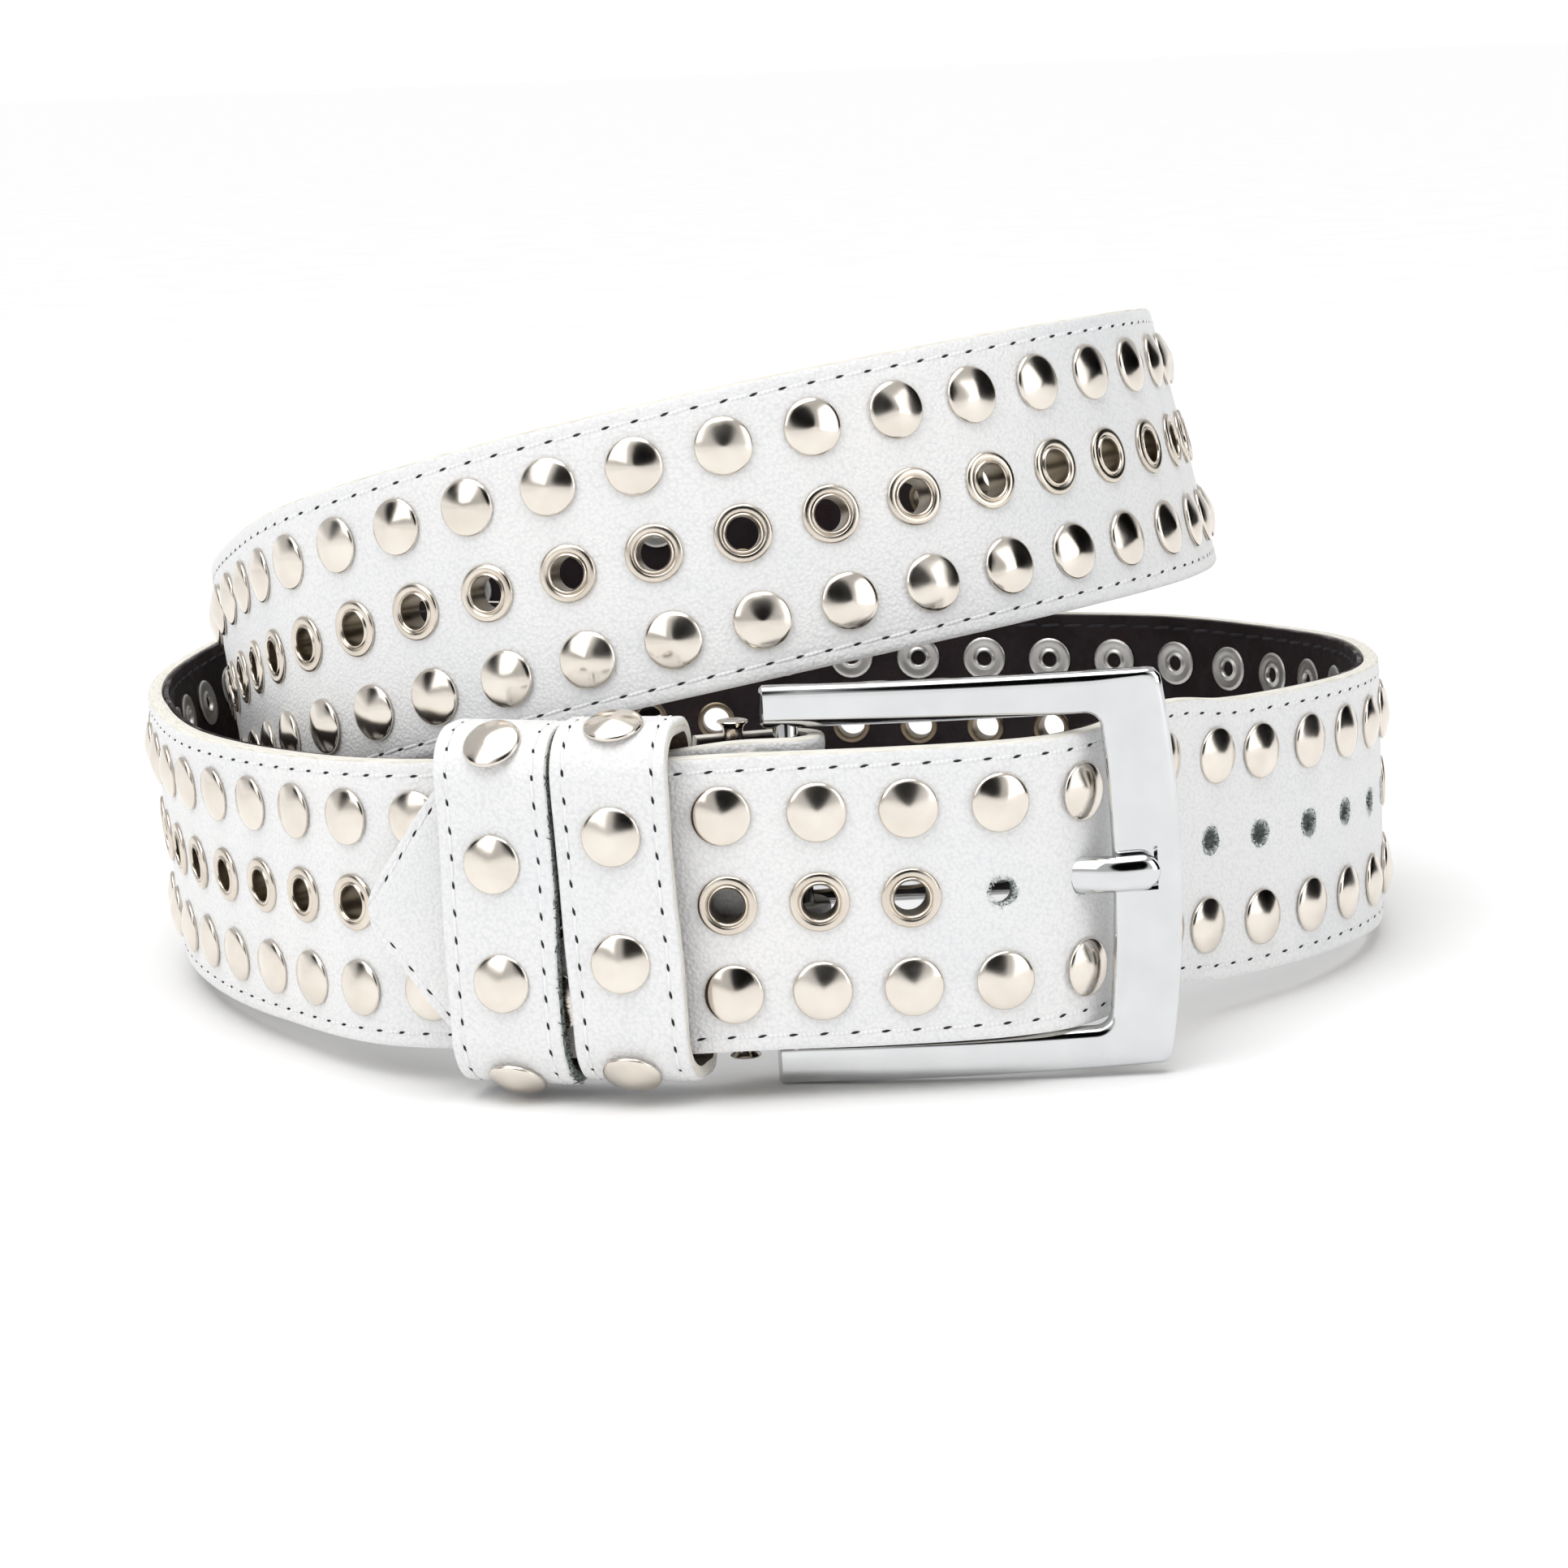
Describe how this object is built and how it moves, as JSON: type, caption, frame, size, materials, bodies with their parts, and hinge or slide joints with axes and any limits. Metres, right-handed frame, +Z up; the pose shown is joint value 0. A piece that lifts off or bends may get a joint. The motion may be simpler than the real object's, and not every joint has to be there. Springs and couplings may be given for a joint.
{
  "type": "studded leather belt",
  "caption": "White leather belt with rows of domed studs and eyelets, buckled and coiled in two turns, standing on its edge.",
  "frame": {"origin": "on the floor, under the middle of the object's bounding box", "axes": "+Z up, -Y towards the buckle's front, +X along the belt from the buckle's pivot bar to its end bar"},
  "size_m": [0.1956, 0.2016, 0.0991],
  "materials": {
    "white_leather": "smooth pebbled white leather, semi-matt",
    "dark_lining": "near-black split leather lining",
    "chrome": "polished chrome plate on a zinc casting",
    "nickel": "polished pale nickel plate"
  },
  "bodies": {
    "root": {"strap_face": "white_leather", "strap_lining": "dark_lining", "buckle_frame": "chrome", "buckle_prong": "chrome", "fold_rivet_upper": "nickel", "fold_rivet_lower": "nickel", "keeper_near_buckle": "white_leather", "keeper_near_tip": "white_leather"}
  },
  "joints": []
}
